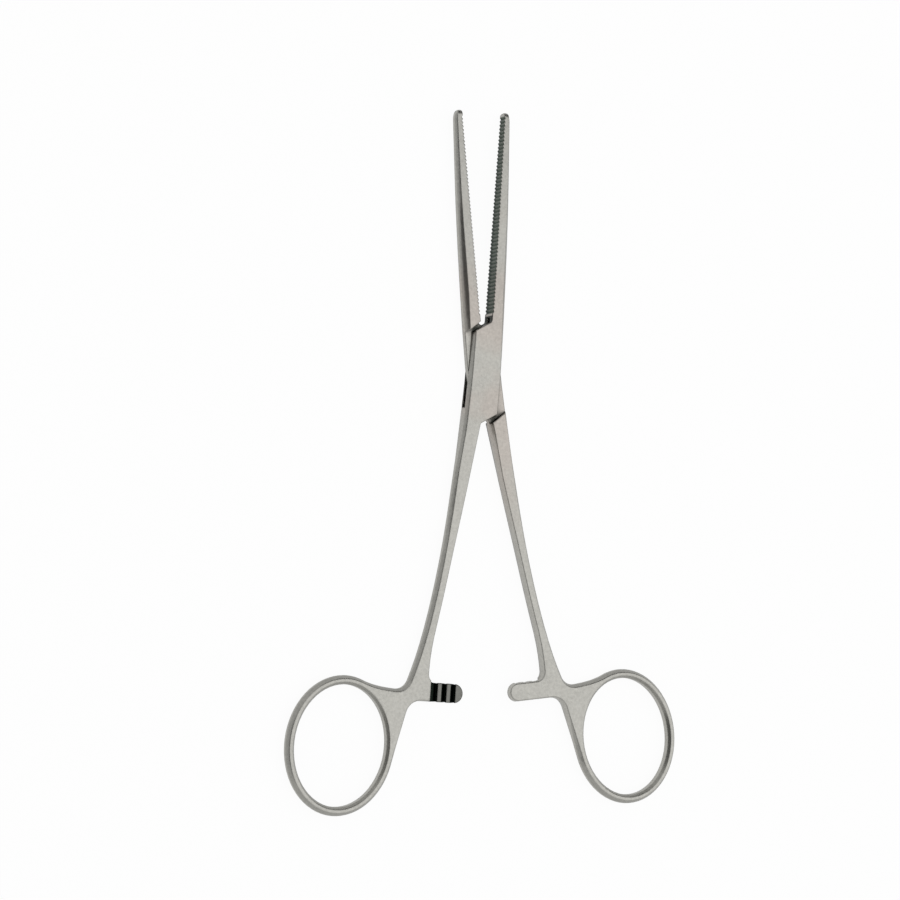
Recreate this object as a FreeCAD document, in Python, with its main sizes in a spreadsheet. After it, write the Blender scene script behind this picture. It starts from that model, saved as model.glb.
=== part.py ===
"""Hemostat forceps with a box lock, serrated jaws, ring handles and a ratchet.

Three pieces: the box half, the male half that passes through it, and the pivot pin.
Both halves are drawn alike: pivot axis on Z, jaw on +X reaching up +Y, shank, ratchet
arm and finger ring on -X reaching down -Y, with the jaw faces parallel to Y. The male
half is then turned over about Y, and each half is swung by half of the opening angle.
Lengths are in millimetres.
"""
import FreeCAD
import Part
import math
import os
from FreeCAD import Placement, Rotation, Vector

SIZES = (
    ("half_opening", 4.6, "swing of each half from parallel jaw faces, degrees"),
    ("jaw_length", 60.1, "pivot axis to jaw tip"),
    ("jaw_offset", 0.5, "jaw face to the centre line when the faces are parallel"),
    ("jaw_root_reach", 4.1, "outer side of the jaw at its root"),
    ("jaw_root_height", 12.0, "pivot axis to the root of the jaw"),
    ("jaw_middle_reach", 3.45, "outer side of the jaw halfway along"),
    ("jaw_middle_height", 36.1, "pivot axis to where that is measured"),
    ("jaw_tip_reach", 2.33, "outer side of the jaw where the tip starts to round"),
    ("jaw_tip_slope", 3.2, "slope of the outer side there, degrees"),
    ("jaw_corner_length", 2.5, "outer corner of the tip, along the jaw"),
    ("jaw_tip_thickness", 2.5, "thickness of the jaw at the tip"),
    ("jaw_nose_round", 0.5, "inner corner of the tip"),
    ("jaw_side_round", 1.15, "rounding of the tip seen from the side"),
    ("jaw_taper_start", 18.0, "pivot axis to where the jaw starts to get thinner"),
    ("box_thickness", 4.2, "thickness of the box and of the lock shoulders"),
    ("box_corner_reach", 3.95, "side of the box at its corners"),
    ("box_waist_reach", 4.1, "side of the box level with the pivot"),
    ("box_side_slope", 1.0, "slope of the side of the box at its corners, degrees"),
    ("box_end", 11.5, "pivot axis to where the box starts to thin"),
    ("lock_angle", 32.5, "slope of the lock edges, degrees"),
    ("wall_reach", 9.55, "pivot axis to the slanted edges of the box walls"),
    ("shoulder_gap", 0.5, "box wall edge to the shoulder of the male half"),
    ("tongue_gap", 0.35, "end of the tongue to the end of the slot"),
    ("slot_side_end", 8.87, "pivot axis up to the end of the slot at the side of the box"),
    ("slot_face_end", 12.9, "pivot axis up to the end of the slot at the jaw face"),
    ("slot_height", 1.6, "slot that the tongue passes through"),
    ("tongue_clearance", 0.05, "running clearance on each face of the tongue"),
    ("crotch_round", 0.7, "corner between the box and a jaw or shank"),
    ("pin_diameter", 3.0, "pivot pin"),
    ("pin_clearance", 0.04, "radial running clearance of the pin in the tongue"),
    ("shank_thickness", 3.0, "thickness of shank, web and ring"),
    ("shank_start", 25.0, "pivot axis to where the shank has its own thickness"),
    ("shank_top", 17.0, "pivot axis to the first width of the shank"),
    ("shank_top_middle", 3.0, "centre line to the middle of the shank there"),
    ("shank_top_width", 4.0, "width of the shank below the box"),
    ("shank_upper_width", 3.6, "width of the shank a fifth of the way down"),
    ("shank_middle_width", 2.85, "width of the shank two fifths of the way down"),
    ("shank_slim_width", 2.45, "least width of the shank"),
    ("shank_end_width", 2.7, "width of the shank above the ratchet arm"),
    ("shank_spread", 6.55, "how far the shank leans out over its length"),
    ("shank_bow", 0.2, "share of that lean that is a curve"),
    ("arm_drop", 72.85, "pivot axis to the middle of the ratchet arm"),
    ("arm_below_shank", 11.15, "end of the shank to the middle of the arm"),
    ("arm_height", 4.3, "height of the ratchet arm"),
    ("arm_tip", 0.3, "how far the arm passes the centre line"),
    ("arm_step", 8.3, "centre line to the step where the arm gets thin"),
    ("arm_crest_gap", 0.1, "between the tooth crests of the two arms"),
    ("arm_upper_round", 1.95, "fillet between arm and shank"),
    ("arm_upper_root", 0.5, "end of the shank's inner side to the upper fillet, across"),
    ("arm_lower_round", 3.5, "fillet between arm and web"),
    ("arm_lower_root", 2.0, "end of the shank's inner side to that fillet's centre, across"),
    ("tooth_pitch", 2.2, "ratchet tooth to tooth"),
    ("tooth_depth", 0.8, "depth of a ratchet tooth"),
    ("tooth_land", 0.85, "flat crest of a ratchet tooth"),
    ("tooth_count", 2, "ratchet teeth with a short notch behind them"),
    ("tooth_end", 1.5, "centre line to the steep side of the last tooth"),
    ("ring_out", 19.05, "end of the shank to the ring centre, across"),
    ("ring_below_arm", 12.95, "middle of the arm to the ring centre, down"),
    ("ring_hole_width", 21.5, "short axis of the finger hole"),
    ("ring_hole_height", 26.7, "long axis of the finger hole"),
    ("ring_bar", 2.15, "width of the bar of the ring"),
    ("ring_tilt", -3.5, "lean of the long axis of the ring, degrees"),
    ("web_crotch_round", 3.0, "fillet between shank and ring"),
    ("web_crotch_out", 6.8, "end of the shank to the centre of that fillet, across"),
    ("web_crotch_rise", 2.45, "lower edge of the arm up to the foot of that fillet"),
    ("web_crotch_start", -20.0, "angle where that fillet leaves the shank, degrees"),
    ("web_crotch_end", -93.0, "angle where it runs into the web, degrees"),
    ("web_top_angle", 16.0, "top of the ring to the upper edge of the web, degrees"),
    ("web_foot_angle", 100.0, "top of the ring to the inner edge of the web, degrees"),
    ("web_slope", 78.0, "slope of the inner edge of the web, degrees"),
    ("groove_pitch", 0.86, "jaw serration to serration"),
    ("groove_depth", 0.3, "depth of a jaw serration"),
    ("groove_count", 53, "serrations on each jaw"),
    ("groove_crest", 0.02, "how far the crests between them are ground down"),
    ("groove_start", 1.4, "jaw tip to the first serration"),
    ("blank_margin", 0.05, "how far the blank stands proud of the finished faces"),
    ("cut_margin", 1.0, "how far a cut runs past the piece"),
)

# Levels that the outline is drawn on, and their heights off the middle plane.
HEIGHTS = {
    "middle": "0",
    "shank": "sizes.shank_thickness / 2",
    "box": "sizes.box_thickness / 2 + sizes.blank_margin",
}

# The same levels from back to front: the side of the middle plane, and the level.
LAYERS = (("-", "box"), ("-", "shank"), ("", "middle"), ("", "shank"), ("", "box"))

# How far each side has curved in at the level of the shank's faces and of the box's.
BULGE = {
    "box": {"shank": 0.37, "box": 0.75},
    "jaw_root": {"shank": 0.55, "box": 1.1},
    "jaw": {"shank": 0.66, "box": 1.32},
    "jaw_tip": {"shank": 0.7, "box": 1.05},
    "shank_top": {"shank": 0.4, "box": 0.8},
    "shank": {"shank": 0.68, "box": 1.0},
    "inside": {"shank": 0.25, "box": 0.42},
    "web": {"shank": 0.7, "box": 0.9},
    "ring": {"shank": 0.72, "box": 0.9},
}

# Widths of the shank, each at a share of its length from the top.
SHANK_WIDTHS = (
    (0.0, "shank_top_width"),
    (0.18, "shank_upper_width"),
    (0.41, "shank_middle_width"),
    (0.64, "shank_slim_width"),
    (0.86, "shank_slim_width"),
    (1.0, "shank_end_width"),
)

# Heights of the bands of the finger hole, as shares of half the shank's thickness.
HOLE_BANDS = (-1.0, -0.45, 0.45, 1.0)

doc = FreeCAD.newDocument("hemostat_forceps")
sheet = doc.addObject("Spreadsheet::Sheet", "sizes")
for row, (alias, value, meaning) in enumerate(SIZES, start=1):
    sheet.set("A%d" % row, alias)
    sheet.set("B%d" % row, str(value))
    sheet.set("C%d" % row, meaning)
    sheet.setAlias("B%d" % row, alias)
doc.recompute()


def size(alias):
    return float(sheet.get(alias))


def sine(degrees):
    return math.sin(math.radians(degrees))


def cosine(degrees):
    return math.cos(math.radians(degrees))


def point(x, y):
    return Vector(x, y, 0)


def direction(degrees):
    return point(cosine(degrees), sine(degrees))


def inset(kind, level):
    """How far a kind of side has curved in at a level."""
    return BULGE[kind].get(level, 0.0)


def line(start, end):
    return Part.LineSegment(start, end)


def arc(centre, radius, first, last):
    """Arc about a centre, clockwise from one angle to the other, in degrees."""
    angles = (first, (first + last) / 2, last)
    return Part.Arc(*[centre + direction(angle) * radius for angle in angles])


def curve(points, start_tangent, end_tangent, stations=(0.0, 1.0)):
    """Smooth line through points. Stations are their rough distances along it."""
    spline = Part.BSplineCurve()
    spline.interpolate(
        Points=points, Parameters=list(stations), Scale=True,
        InitialTangent=start_tangent, FinalTangent=end_tangent)
    return spline


def rounded_corner(before, corner, after, radius):
    """Arc that rounds a corner between two straight edges."""
    first = (before - corner).normalize()
    second = (after - corner).normalize()
    half_angle = first.getAngle(second) / 2
    bisector = (first + second).normalize()
    reach = radius / math.tan(half_angle)
    depth = radius / math.sin(half_angle) - radius
    return Part.Arc(corner + first * reach, corner + bisector * depth, corner + second * reach)


def upper_lock_edge(x, reach):
    """Point at x on the slanted edge above the pivot that lies at a reach from it."""
    return point(x, (reach + x * sine(size("lock_angle"))) / cosine(size("lock_angle")))


def lower_lock_edge(x, reach):
    return -upper_lock_edge(-x, reach)


def shank_length():
    return size("arm_drop") - size("arm_below_shank") - size("shank_top")


def shank_stations():
    """Distances from the pivot down to the widths of the shank."""
    return [size("shank_top") + share * shank_length() for share, width in SHANK_WIDTHS]


def shank_side(level, side):
    """Points down one side of the shank: side 1 is the outer side, -1 the inner."""
    bow = size("shank_bow")
    points = []
    for share, width in SHANK_WIDTHS:
        lean = size("shank_spread") * (share * (1 - bow) + share ** 3 * bow)
        middle = size("shank_top_middle") + lean
        kind = "inside"
        if side == 1:
            kind = "shank" if share else "shank_top"
        out = middle + side * (size(width) / 2 - inset(kind, level))
        points.append(point(-out, -size("shank_top") - share * shank_length()))
    return points


def shank_end_out():
    """Distance from the centre line to the middle of the shank at its end."""
    return size("shank_top_middle") + size("shank_spread")


def ring_centre():
    return point(-shank_end_out() - size("ring_out"), -size("arm_drop") - size("ring_below_arm"))


def ring_axes():
    """Directions of the long and the short axis of the ring."""
    return direction(90 + size("ring_tilt")), direction(size("ring_tilt"))


def ring_edge(angle, gap):
    """Point at a gap from the finger hole, its angle counted from the top to the shank."""
    long_axis, short_axis = ring_axes()
    along = (size("ring_hole_height") / 2 + gap) * cosine(angle)
    across = (size("ring_hole_width") / 2 + gap) * sine(angle)
    return ring_centre() + long_axis * along + short_axis * across


def ring_ellipse(gap):
    return Part.Ellipse(ring_edge(0, gap), ring_edge(-90, gap), ring_centre())


def half_outline(level, reach):
    """Closed outline of one half at a level, with its lock edges at a reach."""
    face = size("jaw_offset")
    tip = size("jaw_length")
    nose = size("jaw_nose_round")
    corner_x = size("box_corner_reach") - inset("box", level)
    waist_x = size("box_waist_reach") - inset("box", level)
    outer = shank_side(level, 1)
    inner = shank_side(level, -1)
    edges = []

    # Jaw face down to the upper crotch, then the upper lock edge.
    nose_end = point(face, tip - nose)
    lock_left = upper_lock_edge(-corner_x, reach)
    upper_crotch = rounded_corner(
        nose_end, upper_lock_edge(face, reach), lock_left, size("crotch_round"))
    edges.append(line(nose_end, upper_crotch.StartPoint))
    edges.append(upper_crotch)
    edges.append(line(upper_crotch.EndPoint, lock_left))

    # Outer side of the shank, and the fillet between shank and ring.
    arm_low = -size("arm_drop") - size("arm_height") / 2
    crotch_centre = point(
        -shank_end_out() - size("web_crotch_out"),
        arm_low + size("web_crotch_rise") + size("web_crotch_round"))
    crotch_radius = size("web_crotch_round") + inset("web", level)
    crotch_start = size("web_crotch_start")
    crotch_end = size("web_crotch_end")
    web_crotch = arc(crotch_centre, crotch_radius, crotch_start, crotch_end)
    side = [lock_left, point(-waist_x, 0)] + outer + [web_crotch.StartPoint]
    stations = [-size("wall_reach"), 0] + shank_stations() + [-crotch_centre.y]
    side_slope = size("box_side_slope")
    edges.append(
        curve(side, direction(-90 - side_slope), direction(crotch_start - 90), stations))
    edges.append(web_crotch)

    # Top of the web into the ring, round the ring, and back up under the arm.
    bar = size("ring_bar") - inset("ring", level)
    first_angle = size("web_top_angle")
    last_angle = size("web_foot_angle") - 360
    ring = Part.ArcOfEllipse(
        ring_ellipse(bar), math.radians(-first_angle), math.radians(-last_angle))
    ring_start = ring_edge(first_angle, bar)
    tangent = (ring_edge(first_angle - 1, bar) - ring_start).normalize()
    edges.append(
        curve([web_crotch.EndPoint, ring_start], direction(crotch_end - 90), tangent))
    edges.append(ring)

    # Ratchet arm with its two fillets and its rounded end.
    side_inset = inset("inside", level)
    arm_half = size("arm_height") / 2
    arm_high = arm_low + size("arm_height")
    lower_round = size("arm_lower_round")
    upper_round = size("arm_upper_round")
    shank_foot = -shank_end_out() + size("shank_end_width") / 2
    under_centre = point(shank_foot - size("arm_lower_root"), arm_low - lower_round)
    under_arm = arc(under_centre, lower_round + side_inset, size("web_slope") + 90, 90)
    over_centre = point(
        shank_foot - size("arm_upper_root") + upper_round, arm_high + upper_round)
    over_arm = arc(over_centre, upper_round + side_inset, 270, 180)
    end_centre = point(size("arm_tip") - arm_half, -size("arm_drop"))
    arm_end = arc(end_centre, arm_half - side_inset, -90, 90)
    edges.append(line(ring_edge(last_angle, bar), under_arm.StartPoint))
    edges.append(under_arm)
    edges.append(line(under_arm.EndPoint, arm_end.StartPoint))
    edges.append(arm_end)
    edges.append(line(arm_end.EndPoint, over_arm.StartPoint))
    edges.append(over_arm)

    # Inner side of the shank up to the lower crotch, then the lower lock edge.
    lock_right = lower_lock_edge(corner_x, reach)
    crotch = crossing(inner[1], inner[0], lower_lock_edge(0, reach), lock_right)
    lower_crotch = rounded_corner(inner[0], crotch, lock_right, size("crotch_round"))
    side = [over_arm.EndPoint] + inner[::-1] + [lower_crotch.StartPoint]
    stations = [-over_centre.y] + shank_stations()[::-1] + [size("box_end")]
    stations = [-station for station in stations]
    edges.append(curve(side, direction(90), (crotch - inner[0]).normalize(), stations))
    edges.append(lower_crotch)
    edges.append(line(lower_crotch.EndPoint, lock_right))

    # Outer side of the jaw and its rounded tip.
    slope = size("jaw_tip_slope")
    corner = tip_corner(size("jaw_tip_reach") - inset("jaw_tip", level))
    root = point(size("jaw_root_reach") - inset("jaw_root", level), size("jaw_root_height"))
    middle = point(size("jaw_middle_reach") - inset("jaw", level), size("jaw_middle_height"))
    side = [lock_right, point(waist_x, 0), root, middle, corner.StartPoint]
    stations = (-size("wall_reach"), 0, root.y, middle.y, tip)
    edges.append(curve(side, direction(90 - side_slope), direction(90 + slope), stations))
    edges.append(corner)
    edges.append(arc(point(face + nose, tip - nose), nose, 90, 180))
    return edges


def tip_corner(reach):
    """Long outer corner of the jaw tip, tangent to the outer side at a reach."""
    length = size("jaw_corner_length")
    inner_end = size("jaw_offset") + size("jaw_nose_round")
    start = math.atan(length * math.tan(math.radians(size("jaw_tip_slope"))) / (reach - inner_end))
    width = (reach - inner_end) / math.cos(start)
    centre = point(inner_end, size("jaw_length") - length)
    ellipse = Part.Ellipse(centre + point(0, length), centre - point(width, 0), centre)
    return Part.ArcOfEllipse(ellipse, start - math.pi / 2, 0)


def crossing(first_start, first_end, second_start, second_end):
    """Where two straight lines cross."""
    first = first_end - first_start
    second = second_end - second_start
    gap = second_start - first_start
    share = (gap.x * second.y - gap.y * second.x) / (first.x * second.y - first.y * second.x)
    return first_start + first * share


def polygon(points):
    return [line(start, end) for start, end in zip(points, points[1:] + points[:1])]


def origin_feature(body, role):
    return [item for item in body.Origin.OriginFeatures if item.Role == role][0]


def sketch(body, name, plane, edges):
    drawing = body.newObject("Sketcher::SketchObject", name)
    drawing.AttachmentSupport = [(origin_feature(body, plane), "")]
    drawing.MapMode = "FlatFace"
    for edge in edges:
        drawing.addGeometry(edge, False)
    return drawing


def lift(drawing, height):
    """Moves a sketch off its plane by a height given as an expression."""
    drawing.setExpression("AttachmentOffset.Base.z", height)


def forged_blank(body, reach):
    """The half as forged: one outline with sides that curve in, front and back."""
    sections = []
    for sign, level in LAYERS:
        name = "%s_outline_%d" % (body.Label, len(sections) + 1)
        section = sketch(body, name, "XY_Plane", half_outline(level, reach))
        lift(section, "%s(%s)" % (sign, HEIGHTS[level]))
        sections.append(section)
    blank = body.newObject("PartDesign::AdditiveLoft", body.Label + "_blank")
    blank.Profile = sections[0]
    blank.Sections = sections[1:]
    return blank


def side_profile(sign):
    """Material to take off one flat side, seen from the side: y along, z up."""
    box = size("box_thickness") / 2
    shank = size("shank_thickness") / 2
    tip_half = size("jaw_tip_thickness") / 2
    tip = size("jaw_length")
    radius = size("jaw_side_round")
    outside = box + size("cut_margin")
    past_tip = tip + size("cut_margin")
    end = ring_centre().y - size("ring_hole_height")
    centre = point(tip - radius, tip_half - radius)
    nose = arc(centre, radius, 0, 90)
    box_edge = point(-size("box_end"), box)
    shank_edge = point(-size("shank_start"), shank)
    edges = [
        nose,
        line(nose.EndPoint, point(size("jaw_taper_start"), box)),
        line(point(size("jaw_taper_start"), box), box_edge),
        curve([box_edge, shank_edge], direction(180), direction(180)),
    ]
    edges += [
        line(shank_edge, point(end, shank)),
        line(point(end, shank), point(end, outside)),
        line(point(end, outside), point(past_tip, outside)),
        line(point(past_tip, outside), point(past_tip, nose.StartPoint.y)),
        line(point(past_tip, nose.StartPoint.y), nose.StartPoint),
    ]
    if sign < 0:
        for edge in edges:
            edge.mirror(Vector(0, 0, 0), Vector(1, 0, 0))
    return edges


def cut_thickness(body):
    """Flat front and back: thick at the box, tapered to the jaw tip, thinner below."""
    for sign, side in ((1, "front"), (-1, "back")):
        name = "%s_%s_profile" % (body.Label, side)
        pocket(body, side, sketch(body, name, "YZ_Plane", side_profile(sign)))


def cut_finger_hole(body):
    """Oval hole with a wall that bulges in bands, so that the ring is rounded inside too."""
    sections = []
    for share in HOLE_BANDS:
        gap = inset("ring", "shank") * share ** 2
        name = "%s_hole_%d" % (body.Label, len(sections) + 1)
        section = sketch(body, name, "XY_Plane", [ring_ellipse(gap)])
        lift(section, "%s * (sizes.shank_thickness / 2 + sizes.blank_margin)" % share)
        sections.append(section)
    hole = body.newObject("PartDesign::SubtractiveLoft", body.Label + "_finger_hole")
    hole.Profile = sections[0]
    hole.Sections = sections[1:]
    hole.Ruled = True


def make_body(name):
    body = doc.addObject("PartDesign::Body", name)
    body.Label = name
    return body


def pocket(body, name, profile, length=None):
    """Cut that goes both ways from its sketch: right through, or over a length."""
    cut = body.newObject("PartDesign::Pocket", "%s_%s" % (body.Label, name))
    cut.Profile = profile
    cut.Midplane = True
    if length:
        cut.Type = "Length"
        cut.setExpression("Length", length)
    else:
        cut.Type = "ThroughAll"
    return cut


def repeat(body, name, feature, axis, pitch, count):
    """Row of copies of a feature, back along an axis of the body."""
    row = body.newObject("PartDesign::LinearPattern", "%s_%s" % (body.Label, name))
    row.Originals = [feature]
    row.Direction = (origin_feature(body, axis), [""])
    row.Reversed = True
    row.Mode = "Spacing"
    row.setExpression("Offset", "sizes." + pitch)
    row.setExpression("Occurrences", "sizes." + count)
    body.Tip = row
    return row


def band_across_box(first, second):
    """Slanted band: up to the line through two points, down to that line turned round."""
    across = size("box_waist_reach") * 2
    slope = (second.y - first.y) / (second.x - first.x)
    upper = [point(x, first.y + (x - first.x) * slope) for x in (across, -across)]
    return polygon(upper + [-corner for corner in upper])


def pivot_circle(clearance):
    return [Part.Circle(point(0, 0), Vector(0, 0, 1), size("pin_diameter") / 2 + clearance)]


def cut_arm(body):
    """Thins the ratchet arm to half, then cuts the notches between its teeth."""
    arm_low = -size("arm_drop") - size("arm_height") / 2
    arm_high = -size("arm_drop") + size("arm_height") / 2 + size("arm_upper_round")
    past_tip = size("arm_tip") + size("cut_margin")
    corners = [
        point(-size("arm_step"), arm_low - size("cut_margin")),
        point(past_tip, arm_low - size("cut_margin")),
        point(past_tip, arm_high),
        point(-size("arm_step"), arm_high),
    ]
    floor = sketch(body, body.Label + "_arm_floor", "XY_Plane", polygon(corners))
    lift(floor, "-sizes.arm_crest_gap / 2")
    recess = body.newObject("PartDesign::Pocket", body.Label + "_arm_recess")
    recess.Profile = floor
    recess.Reversed = True
    recess.setExpression("Length", "sizes.shank_thickness")

    notch_width = size("tooth_pitch") - size("tooth_land")
    notch = cut_notch(body, "notch", -size("tooth_end"), notch_width)
    repeat(body, "ratchet", notch, "X_Axis", "tooth_pitch", "tooth_count")
    steep = -size("tooth_end") - size("tooth_pitch") * size("tooth_count")
    cut_notch(body, "ramp", steep, steep + size("arm_step"))


def cut_notch(body, name, steep, width):
    """Notch across the arm: steep on one side, with a ramp that rises over a width."""
    crest = -size("arm_crest_gap") / 2
    corners = [
        point(steep, crest - size("tooth_depth")),
        point(steep, 0),
        point(steep - width, 0),
        point(steep - width, crest),
    ]
    notch = sketch(body, "%s_%s_outline" % (body.Label, name), "XZ_Plane", polygon(corners))
    lift(notch, "sizes.arm_drop")
    return pocket(body, name, notch, "sizes.arm_height + sizes.cut_margin")


def cut_serrations(body, shift):
    """Row of V grooves straight across the jaw face, from the tip down."""
    face = size("jaw_offset")
    half_pitch = size("groove_pitch") / 2
    height = size("jaw_length") - size("groove_start") - shift
    corners = [point(0, height + half_pitch), point(face, height + half_pitch)]
    for groove in range(round(size("groove_count"))):
        corners.append(point(face + size("groove_depth"), height))
        corners.append(point(face + size("groove_crest"), height - half_pitch))
        height -= size("groove_pitch")
    corners[-1].x = face
    corners.append(point(0, corners[-1].y))
    pocket(body, "serrations", sketch(body, body.Label + "_zigzag", "XY_Plane", polygon(corners)))


def swing(body, turns):
    """Sets a half down on its rear face and swings it about the pivot."""
    middle = "vector(0; 0; sizes.box_thickness / 2)"
    body.setExpression("Placement", "placement(%s; %s)" % (middle, turns))


def make_box_half():
    """Half with the two box walls and the slot between them."""
    body = make_body("box_half")
    forged_blank(body, size("wall_reach"))
    cut_thickness(body)
    cut_finger_hole(body)
    side_end = point(size("box_corner_reach"), size("slot_side_end"))
    face_end = point(size("jaw_offset"), size("slot_face_end"))
    slot = sketch(body, "box_half_slot_outline", "XY_Plane", band_across_box(side_end, face_end))
    pocket(body, "slot", slot, "sizes.slot_height")
    pocket(body, "pivot_hole", sketch(body, "box_half_pivot", "XY_Plane", pivot_circle(0)))
    cut_arm(body)
    cut_serrations(body, 0)
    swing(body, "rotation(vector(0; 0; 1); -sizes.half_opening)")
    return body


def make_male_half():
    """Half with the tongue that passes through the slot, and its shoulders."""
    body = make_body("male_half")
    forged_blank(body, size("wall_reach") - size("tongue_gap"))
    cut_thickness(body)
    cut_finger_hole(body)
    reach = size("wall_reach") + size("shoulder_gap")
    wall_edge = [upper_lock_edge(x, reach) for x in (0, size("box_corner_reach"))]
    band = band_across_box(*[point(-place.x, place.y) for place in wall_edge])
    shoulders = sketch(body, "male_half_shoulder_outline", "XY_Plane", band)
    lift(shoulders, "sizes.slot_height / 2 - sizes.tongue_clearance")
    front = body.newObject("PartDesign::Pocket", "male_half_front_shoulders")
    front.Profile = shoulders
    front.Reversed = True
    front.setExpression("Length", "sizes.box_thickness")
    both = body.newObject("PartDesign::Mirrored", "male_half_shoulders")
    both.Originals = [front]
    both.MirrorPlane = (origin_feature(body, "XY_Plane"), [""])
    body.Tip = both
    hole = pivot_circle(size("pin_clearance"))
    pocket(body, "pivot_hole", sketch(body, "male_half_pivot", "XY_Plane", hole))
    cut_arm(body)
    cut_serrations(body, size("groove_pitch") / 2)
    turned = "rotation(vector(0; 1; 0); 180)"
    swing(body, "rotation(vector(0; 0; 1); sizes.half_opening) * " + turned)
    return body


def make_pin():
    """Pivot pin, riveted into both box walls and polished flush with them."""
    pin = doc.addObject("Part::Cylinder", "pivot_pin")
    pin.Label = "pivot_pin"
    pin.setExpression("Radius", "sizes.pin_diameter / 2")
    pin.setExpression("Height", "sizes.box_thickness")
    return pin


def main():
    pieces = [make_box_half(), make_male_half(), make_pin()]
    doc.recompute()
    for item in doc.Objects:
        if "Invalid" in item.State or "Error" in item.State:
            raise RuntimeError("%s failed: %s" % (item.Label, item.getStatusString()))
    for piece in pieces:
        if piece.Shape.isNull() or not piece.Shape.isValid():
            raise RuntimeError(piece.Label + " has no valid shape")
    os.makedirs("parts", exist_ok=True)
    for piece in pieces:
        piece.Shape.exportStep("parts/%s.step" % piece.Label)


main()
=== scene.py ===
"""Hemostat forceps lying on a white table: satin steel, studio light and camera."""

import math

import bpy
from bpy.props import FloatProperty, FloatVectorProperty, PointerProperty
from bpy.types import Operator, Panel, PropertyGroup
from mathutils import Matrix, Vector


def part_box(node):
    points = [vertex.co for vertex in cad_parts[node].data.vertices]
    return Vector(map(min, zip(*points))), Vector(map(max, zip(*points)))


bl_info = {
    "name": "Hemostat Forceps",
    "version": (1, 0, 0),
    "blender": (4, 5, 0),
    "location": "View3D > Sidebar > Forceps",
    "description": "Finishes a pair of hemostat forceps and sets up its studio",
    "category": "Object",
}

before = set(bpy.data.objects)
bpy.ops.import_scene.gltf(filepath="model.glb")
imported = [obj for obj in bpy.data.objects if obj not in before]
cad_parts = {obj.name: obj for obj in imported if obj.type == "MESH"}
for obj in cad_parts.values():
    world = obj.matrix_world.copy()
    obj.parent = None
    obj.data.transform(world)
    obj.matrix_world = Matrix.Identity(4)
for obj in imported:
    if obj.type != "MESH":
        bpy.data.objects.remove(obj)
MM = 0.001
HALVES = ("box_half", "male_half")
PIN = "pivot_pin"
PIN_LOW, PIN_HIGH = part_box(PIN)
PIN_RADIUS = (PIN_HIGH[0] - PIN_LOW[0]) / 2
MIDDLE_HEIGHT = (PIN_LOW[2] + PIN_HIGH[2]) / 2

WHITE = (1.0, 1.0, 1.0, 1.0)
# Painted shade: near-black colour laid on the groove walls of the jaw serrations.
SERRATION_SHADE_COLOUR = (0.02, 0.05, 0.03, 1.0)
# Painted shade: near-black colour laid in crevices found by ambient occlusion, in the lock throat, on
# the rounded shoulders and on the ratchet arm.
PAINTED_SHADE_COLOUR = (0.006, 0.012, 0.008, 1.0)

# Stretches along the instrument, from the pivot towards the jaw tips.
SERRATIONS_FADE = (12.0 * MM, 13.0 * MM)
THROAT_STRETCH = (10.6 * MM, 12.9 * MM)
ARM_STRETCH = (-78.0 * MM, -67.0 * MM)
NOTCH_STRETCH = (-75.2 * MM, -69.9 * MM)
BLUSH_FADE = (15.0 * MM, 45.0 * MM)

# Distances to either side of the pivot.
THROAT_SIDE = 3.6 * MM
ARM_SIDES = (4.0 * MM, 14.25 * MM)
NOTCH_WALLS_START = (7.0 * MM, 7.2 * MM)

# Heights above and below the middle of the box.
ARM_FACE_FADE = (0.95 * MM, 1.0 * MM)
TOOTH_CREST_FADE = (0.07 * MM, 0.2 * MM)

# Shares of a surface's direction that lie along the instrument, or along the pivot.
GROOVE_SLANT = (0.44, 0.65)
SHOULDER_SLANT = (0.35, 0.82)

# Directions of the dark screens in the sky: low on the left, and past the jaw tips.
SCREENS = ((-0.945, 0.0, 0.326), (0.41, 0.826, 0.386))
SCREEN_EDGE = (0.7, 0.92)
SCREEN_DARKNESS = 0.85


class Signal:
    """One socket of a node tree, so that shader maths reads as arithmetic."""

    def __init__(self, tree, socket):
        self.tree = tree
        self.socket = socket

    def maths(self, operation, *values):
        """The result of a Math node on the given values."""
        return self.tree.node("ShaderNodeMath", {"operation": operation}, dict(enumerate(values)))

    def __add__(self, other):
        return self.maths("ADD", self, other)

    def __radd__(self, other):
        return self.maths("ADD", other, self)

    def __sub__(self, other):
        return self.maths("SUBTRACT", self, other)

    def __rsub__(self, other):
        return self.maths("SUBTRACT", other, self)

    def __mul__(self, other):
        return self.maths("MULTIPLY", self, other)

    def __rmul__(self, other):
        return self.maths("MULTIPLY", other, self)

    def __abs__(self):
        return self.maths("ABSOLUTE", self)

    def rise(self, low, high):
        """0 up to the low value, 1 from the high one, and a smooth step between."""
        return self.tree.node(
            "ShaderNodeMapRange", {"interpolation_type": "SMOOTHSTEP"},
            {"Value": self, "From Min": low, "From Max": high})

    def below(self, high, soft):
        """1 up to a value, falling to 0 over a soft distance above it."""
        return 1 - self.rise(high, high + soft)

    def within(self, low, high, soft):
        """1 between two values, falling to 0 over a soft distance outside them."""
        return self.rise(low - soft, low) * self.below(high, soft)


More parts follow.
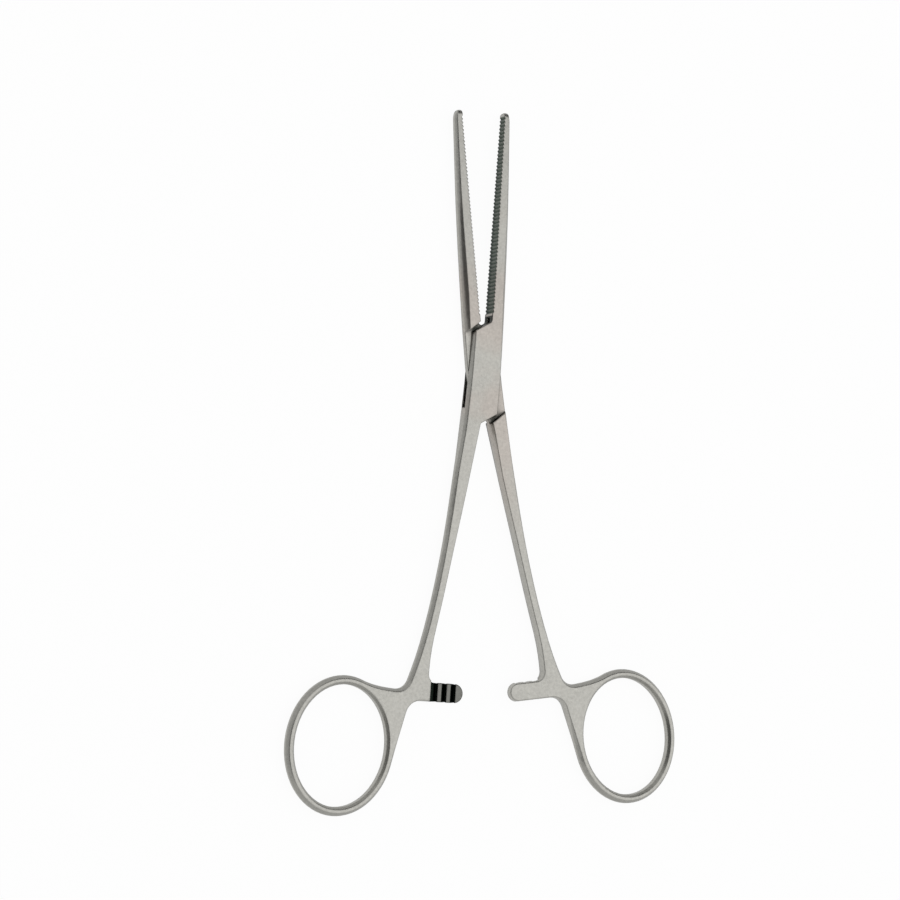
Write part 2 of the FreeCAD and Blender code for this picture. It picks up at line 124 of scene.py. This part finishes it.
class Tree:
    """Node tree of a material or a world, emptied and ready for new nodes."""

    def __init__(self, owner):
        owner.use_nodes = True
        self.tree = owner.node_tree
        self.tree.nodes.clear()

    def node(self, kind, settings=None, values=None, output=0):
        """Adds a node, sets it up, fills or links its inputs and returns one output."""
        made = self.tree.nodes.new(kind)
        for name, value in (settings or {}).items():
            setattr(made, name, value)
        for name, value in (values or {}).items():
            if isinstance(value, Signal):
                self.tree.links.new(value.socket, made.inputs[name])
            else:
                made.inputs[name].default_value = value
        if not made.outputs:
            return None
        return Signal(self, made.outputs[output])

    def noise(self, vector, scale, detail, roughness):
        """Value noise between 0 and 1 that follows a vector."""
        return self.node(
            "ShaderNodeTexNoise", {"noise_dimensions": "3D"},
            {"Vector": vector, "Scale": scale, "Detail": detail, "Roughness": roughness})

    def blend(self, factor, first, second, kind="MIX"):
        """The first colour where the factor is 0, and the second, or their product, where it is 1."""
        return self.node(
            "ShaderNodeMix", {"data_type": "RGBA", "blend_type": kind},
            {"Factor": factor, 6: first, 7: second}, output=2)

    def axes(self, vector):
        """The x, y and z of a vector."""
        return [
            self.node("ShaderNodeSeparateXYZ", None, {"Vector": vector}, output=axis)
            for axis in ("X", "Y", "Z")]


class SteelSettings(PropertyGroup):
    """Finish of the forceps."""

    colour: FloatVectorProperty(
        name="Steel colour", description="Colour of the satin steel", subtype="COLOR", size=3,
        min=0.0, max=1.0, default=(0.61, 0.60, 0.556))
    blush: FloatVectorProperty(
        name="Blush colour", description="Faint warm tint of the steel in patches", subtype="COLOR",
        size=3, min=0.0, max=1.0, default=(0.606, 0.562, 0.514))
    roughness: FloatProperty(
        name="Roughness", description="Roughness of the satin finish", min=0.05, max=1.0,
        default=0.29)
    grain_depth: FloatProperty(
        name="Grain depth", description="Depth of the fine brushing", subtype="DISTANCE",
        default=0.004 * MM, min=0.0)
    edge_round: FloatProperty(
        name="Edge rounding", description="Radius that polishing leaves on the edges",
        subtype="DISTANCE", default=0.45 * MM, min=0.0)
    # Reach of the ambient occlusion that paints shade into the crevices.
    crevice_reach: FloatProperty(
        name="Crevice reach", description="Width of the gaps that stay dark inside",
        subtype="DISTANCE", default=2.0 * MM, min=0.0)
    # Strength of the painted shade on the rounded shoulders between the fronts and the sides.
    edge_shade: FloatProperty(
        name="Edge shade", description="How much the rounded shoulders darken", subtype="FACTOR",
        default=0.28, min=0.0, max=1.0)
    # Share of the painted shade in the serrations that lifts off their open crests.
    serration_shade_lift: FloatProperty(
        name="Serration tone", description="Share of bright steel on the crests of the serrations",
        subtype="FACTOR", default=0.38, min=0.0, max=1.0)
    # Share of the steel's brightness left under the painted shade on the ratchet arm.
    ratchet_lit_share: FloatProperty(
        name="Ratchet tone", description="Share of the steel's brightness on the tooth crests",
        subtype="FACTOR", default=0.4, min=0.0, max=1.0)


class StudioSettings(PropertyGroup):
    """Table, lights and camera."""

    table_colour: FloatVectorProperty(
        name="Table colour", description="Colour of the table top", subtype="COLOR", size=3,
        min=0.0, max=1.0, default=(0.9, 0.9, 0.9))
    table_whiteness: FloatProperty(
        name="Table whiteness", description="How far the camera sees the table as plain white",
        subtype="FACTOR", min=0.0, max=1.0, default=0.88)
    table_gloss: FloatProperty(
        name="Table in the steel", description="How far the steel mirrors the table as plain white",
        subtype="FACTOR", min=0.0, max=1.0, default=0.42)
    table_light: FloatProperty(
        name="Table light", description="Brightness of the table's plain white", default=1.075,
        min=0.0)
    sky_in_steel: FloatProperty(
        name="Sky in the steel", description="Brightness of the sky that the steel mirrors",
        default=0.62, min=0.0)
    sky_light: FloatProperty(
        name="Sky light", description="Brightness of the sky that lights the table",
        default=0.35, min=0.0)
    camera_lean: FloatProperty(
        name="Camera lean", description="Angle of the camera off the upright, to the left",
        subtype="ANGLE", default=math.radians(24.0))
    camera_dip: FloatProperty(
        name="Camera dip", description="Angle of the camera off the upright, to the rings",
        subtype="ANGLE", default=math.radians(3.0))
    camera_roll: FloatProperty(
        name="Camera roll", description="Turn of the picture about the pivot axis",
        subtype="ANGLE", default=math.radians(0.365))
    camera_place: FloatVectorProperty(
        name="Camera place", description="Where the camera stands, from the pivot",
        subtype="TRANSLATION", size=3, default=(-248.76 * MM, -47.1 * MM, 541.7 * MM))
    camera_lens: FloatProperty(
        name="Camera lens", description="Focal length for a 36 mm frame, in millimetres",
        default=104.86, min=1.0)


def serrations(place, facing):
    """1 on the walls of the grooves across the jaw faces, where painted shade is laid."""
    slanted = abs(facing[1]).within(*GROOVE_SLANT, 0.03)
    upright = abs(facing[2]).below(0.08, 0.04)
    return place[1].rise(*SERRATIONS_FADE) * slanted * upright


def throat(place, facing):
    """1 on the walls at the foot of the jaw faces, where the lock opens and painted shade is laid."""
    soft = 0.2 * MM
    inside = abs(place[0]).below(THROAT_SIDE, soft)
    upright = abs(facing[2]).below(0.5, 0.1)
    return inside * place[1].within(*THROAT_STRETCH, soft) * upright


def ratchet(place, facing):
    """1 on the halved end of a ratchet arm, and 1 in the notches between its teeth, the places that
    get painted shade.
    """
    side = abs(place[0])
    height = abs(place[2] - MIDDLE_HEIGHT)
    across = side.within(*ARM_SIDES, 0.1 * MM)
    floors = place[1].within(*ARM_STRETCH, 0.1 * MM) * abs(facing[2]).rise(0.7, 0.8)
    walls = place[1].within(*NOTCH_STRETCH, 0.05 * MM) * abs(facing[0]).rise(0.8, 0.9)
    walls = walls * side.rise(*NOTCH_WALLS_START)
    arm = across * (floors + walls) * (1 - height.rise(*ARM_FACE_FADE))
    return arm, arm * height.rise(*TOOTH_CREST_FADE)


def rounded_edges(tree, place, radius):
    """The surface's direction with its edges rounded, but sharp around the flush pin."""
    from_pivot = place[0] * place[0] + place[1] * place[1]
    off_pin = from_pivot.rise(PIN_RADIUS ** 2 * 1.2, PIN_RADIUS ** 2 * 1.8)
    sharp = tree.node("ShaderNodeNewGeometry", output="Normal")
    rounded = tree.node("ShaderNodeBevel", {"samples": 8}, {"Radius": radius})
    return tree.node(
        "ShaderNodeMix", {"data_type": "VECTOR"}, {"Factor": off_pin, 4: sharp, 5: rounded}, output=1)


def steel_material(settings, name):
    """Satin steel: fine brushing along the instrument and soft edges, with painted shade in the
    crevices, serration grooves, lock throat, rounded shoulders and ratchet arm.
    """
    material = bpy.data.materials.new(name)
    tree = Tree(material)
    spot = tree.node("ShaderNodeTexCoord", output="Object")
    place = tree.axes(spot)
    facing = tree.axes(tree.node("ShaderNodeTexCoord", output="Normal"))
    along = tree.node(
        "ShaderNodeMapping", {"vector_type": "POINT"}, {"Vector": spot, "Scale": (9.0, 0.6, 9.0)})
    brushing = tree.noise(along, 900.0, 3.0, 0.6)
    grain = tree.noise(spot, 1600.0, 3.0, 0.7)
    clouds = tree.noise(spot, 160.0, 4.0, 0.55)
    patches = tree.noise(spot, 70.0, 2.0, 0.5)
    edges = rounded_edges(tree, place, settings.edge_round)
    open_air = tree.node(
        "ShaderNodeAmbientOcclusion", {"samples": 8}, {"Distance": settings.crevice_reach},
        output="AO")

    near_lock = 1 - abs(place[1]).rise(*BLUSH_FADE)
    tone = tree.blend(
        patches.rise(0.42, 0.6) * near_lock, opaque(settings.colour), opaque(settings.blush))
    speckle = clouds * 0.25 + brushing * 0.2 + grain * 0.55 + 0.5
    tone = tree.blend(1.0, tone, speckle, "MULTIPLY")

    # Painted shade in the serration grooves, lifted on the crests that the ambient occlusion finds
    # open.
    crests = open_air.rise(0.75, 1.0) * settings.serration_shade_lift
    tone = tree.blend(serrations(place, facing) * (1 - crests), tone, SERRATION_SHADE_COLOUR)

    arm, notches = ratchet(place, facing)
    shoulder = abs(tree.axes(edges)[2]).within(*SHOULDER_SLANT, 0.12)
    # Painted shade: crevices that the ambient occlusion finds, and the lock throat, fade towards the
    # near-black shade colour.
    light = open_air.rise(0.35, 0.85) * (1 - throat(place, facing) * 0.95)
    # Painted shade on the rounded shoulders between the fronts and the sides.
    light = light * (1 - shoulder * settings.edge_shade)
    # Painted shade on the halved ratchet arm, near black in the notches between its teeth.
    light = light * (1 - arm * (1 - settings.ratchet_lit_share)) * (1 - notches * 0.97)
    # Lays the painted shade colour wherever the factor above falls below 1.
    tone = tree.blend(light, PAINTED_SHADE_COLOUR, tone)

    normal = tree.node(
        "ShaderNodeBump", None,
        {"Strength": 0.4, "Distance": settings.grain_depth, "Height": brushing * 0.6 + grain * 0.4,
         "Normal": edges})
    roughness = settings.roughness + (clouds - 0.5) * 0.12 + (brushing - 0.5) * 0.1
    shader = tree.node(
        "ShaderNodeBsdfPrincipled", None,
        {"Base Color": tone, "Metallic": 1.0, "Normal": normal, "Roughness": roughness})
    tree.node("ShaderNodeOutputMaterial", None, {"Surface": shader})
    return material


def opaque(colour):
    """A colour setting as the four channels that a socket takes."""
    return tuple(colour) + (1.0,)


def dress(node, material):
    """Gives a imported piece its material."""
    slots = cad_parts[node].data.materials
    slots.clear()
    slots.append(material)


class FORCEPS_OT_finish_halves(Operator):
    """Give both halves their satin steel"""
    bl_idname = "forceps.finish_halves"
    bl_label = "Finish the halves"

    def execute(self, context):
        steel = steel_material(context.scene.forceps_steel, "satin_steel")
        for node in HALVES:
            dress(node, steel)
        return {"FINISHED"}


class FORCEPS_OT_finish_pin(Operator):
    """Give the pivot pin its satin steel"""
    bl_idname = "forceps.finish_pin"
    bl_label = "Finish the pivot pin"

    def execute(self, context):
        dress(PIN, steel_material(context.scene.forceps_steel, "pin_steel"))
        return {"FINISHED"}


def table_material(settings):
    """White table that keeps a faint shadow where the camera sees it."""
    material = bpy.data.materials.new("white_table")
    tree = Tree(material)
    matt = tree.node("ShaderNodeBsdfDiffuse", None, {"Color": opaque(settings.table_colour)})
    white = tree.node("ShaderNodeEmission", None, {"Color": WHITE, "Strength": settings.table_light})
    camera = tree.node("ShaderNodeLightPath", output="Is Camera Ray")
    glossy = tree.node("ShaderNodeLightPath", output="Is Glossy Ray")
    share = camera * settings.table_whiteness + glossy * settings.table_gloss
    table = tree.node("ShaderNodeMixShader", None, {0: share, 1: matt, 2: white})
    tree.node("ShaderNodeOutputMaterial", None, {"Surface": table})
    return material


def studio_sky(settings):
    """Pale sky with dark screens, which the steel mirrors below its front edges."""
    world = bpy.data.worlds.new("studio")
    tree = Tree(world)
    direction = tree.node("ShaderNodeTexCoord", output="Generated")
    mirrored = settings.sky_in_steel
    for screen in SCREENS:
        towards = tree.node(
            "ShaderNodeVectorMath", {"operation": "DOT_PRODUCT"}, {0: direction, 1: screen},
            output="Value")
        mirrored = mirrored * (1 - towards.rise(*SCREEN_EDGE) * SCREEN_DARKNESS)
    glossy = tree.node("ShaderNodeLightPath", output="Is Glossy Ray")
    strength = glossy * mirrored + (1 - glossy) * settings.sky_light
    sky = tree.node("ShaderNodeBackground", None, {"Color": WHITE, "Strength": strength})
    tree.node("ShaderNodeOutputWorld", None, {"Surface": sky})
    return world


def hang_softbox(place, aim, width, length, power):
    """Rectangular softbox that points at a place on the table."""
    data = bpy.data.lights.new("softbox", "AREA")
    data.shape = "RECTANGLE"
    data.size = width
    data.size_y = length
    data.energy = power
    light = bpy.data.objects.new("softbox", data)
    light.location = place
    light.rotation_euler = (Vector(aim) - Vector(place)).to_track_quat("-Z", "Y").to_euler()
    bpy.context.scene.collection.objects.link(light)


def lay_table(settings):
    """Square white table top under the instrument."""
    half = 1.5
    corners = [(-half, -half, 0.0), (half, -half, 0.0), (half, half, 0.0), (-half, half, 0.0)]
    mesh = bpy.data.meshes.new("table")
    mesh.from_pydata(corners, [], [(0, 1, 2, 3)])
    mesh.materials.append(table_material(settings))
    table = bpy.data.objects.new("table", mesh)
    bpy.context.scene.collection.objects.link(table)


def place_camera(settings):
    """Camera above and to the left of the instrument, as in the photograph."""
    data = bpy.data.cameras.new("camera")
    data.sensor_width = 36.0
    data.lens = settings.camera_lens
    data.clip_start = 10.0 * MM
    camera = bpy.data.objects.new("camera", data)
    turn = (
        Matrix.Rotation(-settings.camera_dip, 4, "X")
        @ Matrix.Rotation(settings.camera_lean, 4, "Y")
        @ Matrix.Rotation(settings.camera_roll, 4, "Z"))
    camera.matrix_world = Matrix.Translation(settings.camera_place) @ turn.inverted()
    bpy.context.scene.collection.objects.link(camera)
    bpy.context.scene.camera = camera


class FORCEPS_OT_set_studio(Operator):
    """Lay the table, hang the lights and set up the camera"""
    bl_idname = "forceps.set_studio"
    bl_label = "Set up the studio"

    def execute(self, context):
        settings = context.scene.forceps_studio
        lay_table(settings)
        context.scene.world = studio_sky(settings)
        hang_softbox(
            place=(0.35, -0.01, 0.65), aim=(0.0, -0.02, 0.0), width=0.5, length=1.15, power=0.45)
        place_camera(settings)
        context.scene.view_settings.view_transform = "Standard"
        return {"FINISHED"}


class FORCEPS_PT_sidebar(Panel):
    """Sidebar panel with the forceps' tools and settings"""
    bl_label = "Hemostat forceps"
    bl_idname = "FORCEPS_PT_sidebar"
    bl_space_type = "VIEW_3D"
    bl_region_type = "UI"
    bl_category = "Forceps"

    def draw(self, context):
        for group in (context.scene.forceps_steel, context.scene.forceps_studio):
            for name in group.__annotations__:
                self.layout.prop(group, name)
        for tool in TOOLS:
            self.layout.operator(tool.bl_idname)


TOOLS = (FORCEPS_OT_finish_halves, FORCEPS_OT_finish_pin, FORCEPS_OT_set_studio)
CLASSES = (SteelSettings, StudioSettings) + TOOLS + (FORCEPS_PT_sidebar,)


def register():
    for item in CLASSES:
        bpy.utils.register_class(item)
    bpy.types.Scene.forceps_steel = PointerProperty(type=SteelSettings)
    bpy.types.Scene.forceps_studio = PointerProperty(type=StudioSettings)


def unregister():
    del bpy.types.Scene.forceps_studio
    del bpy.types.Scene.forceps_steel
    for item in reversed(CLASSES):
        bpy.utils.unregister_class(item)


def main():
    register()
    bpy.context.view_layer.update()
    bpy.ops.forceps.finish_halves()
    bpy.ops.forceps.finish_pin()
    bpy.ops.forceps.set_studio()


if __name__ == "__main__":
    main()
